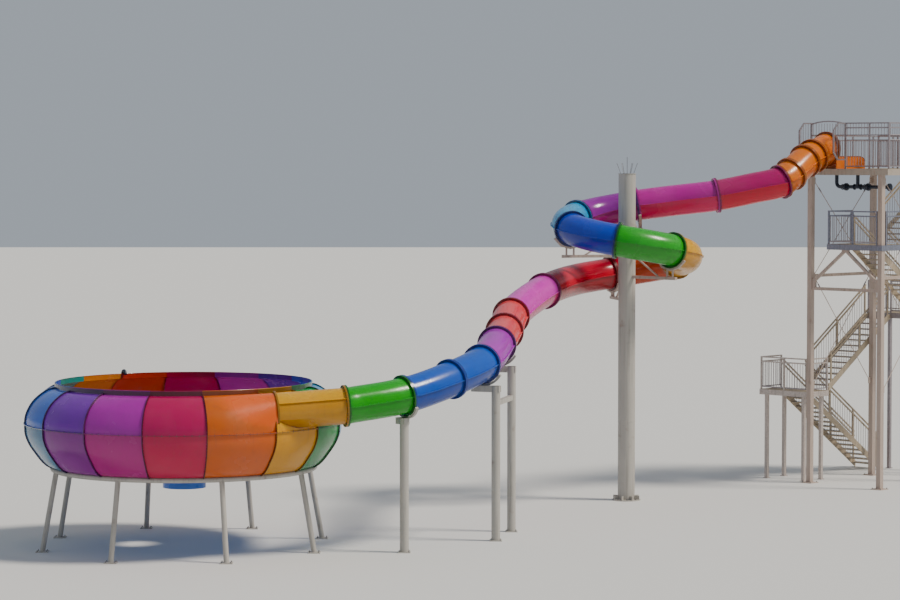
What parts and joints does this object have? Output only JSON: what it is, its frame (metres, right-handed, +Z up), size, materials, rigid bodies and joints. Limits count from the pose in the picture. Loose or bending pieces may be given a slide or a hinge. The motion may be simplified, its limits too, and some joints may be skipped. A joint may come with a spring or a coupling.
{
  "type": "water slide tower",
  "caption": "Enclosed water slide: stair tower with a start deck, flume turning round a column, then a round bowl on legs.",
  "frame": {"origin": "middle of the column's foot, on the ground", "axes": "+Z up; +X from the bowl towards the stair tower; +Y away from the side with the bowl's entry"},
  "size_m": [30.1618, 25.8034, 12.0308],
  "materials": {
    "orange": "glossy gel coat",
    "crimson": "glossy gel coat",
    "magenta": "glossy gel coat",
    "purple": "glossy gel coat",
    "light_blue": "glossy gel coat",
    "blue": "glossy gel coat",
    "green": "glossy gel coat",
    "yellow": "glossy gel coat",
    "rust": "glossy gel coat",
    "red": "glossy gel coat",
    "pink": "glossy gel coat",
    "salmon": "glossy gel coat",
    "column_paint": "semi-gloss, weathered",
    "tower_paint": "semi-gloss, weathered",
    "rail_zinc": "dull galvanised",
    "tread_paint": "semi-gloss, weathered",
    "pipe_navy": "semi-gloss"
  },
  "bodies": {
    "root": {"bowl_floor": "blue", "bowl_frame_far": "column_paint", "bowl_frame_near": "column_paint", "bowl_wall_1": "orange", "bowl_wall_2": "green", "bowl_wall_3": "purple", "bowl_wall_4": "magenta", "bowl_wall_5": "red", "bowl_wall_6": "green", "bowl_wall_7": "purple", "bowl_wall_8": "magenta", "column": "column_paint", "column_arm_1": "tower_paint", "column_arm_2": "tower_paint", "column_arm_3": "tower_paint", "column_arm_4": "tower_paint", "deck": "tower_paint", "deck_guard": "rail_zinc", "flume_bowl_entry": "yellow", "flume_crimson": "crimson", "flume_helix_blue": "blue", "flume_helix_green": "green", "flume_helix_light_blue": "light_blue", "flume_helix_purple": "purple", "flume_helix_red": "red", "flume_helix_rust": "rust", "flume_helix_yellow": "yellow", "flume_lower_blue_1": "blue", "flume_lower_blue_2": "blue", "flume_lower_green": "green", "flume_lower_pink": "pink", "flume_lower_salmon_1": "salmon", "flume_lower_salmon_2": "salmon", "flume_lower_violet": "purple", "flume_magenta": "magenta", "flume_orange_1": "orange", "flume_orange_2": "orange", "flume_orange_3": "orange", "flume_orange_4": "orange", "flume_red": "red", "front_brace": "tower_paint", "low_landing": "rail_zinc", "middle_landing": "rail_zinc", "right_landing": "rail_zinc", "side_brace_left": "tower_paint", "side_brace_right": "tower_paint", "single_pylon": "column_paint", "stair_flight_1": "tread_paint", "stair_flight_2": "tread_paint", "stair_flight_3": "tread_paint", "stair_flight_4": "tread_paint", "start_trough": "orange", "tower_post_far_left": "tower_paint", "tower_post_far_right": "tower_paint", "tower_post_near_left": "tower_paint", "tower_post_near_right": "tower_paint", "twin_pylon": "column_paint", "water_pipes": "pipe_navy"}
  },
  "joints": []
}
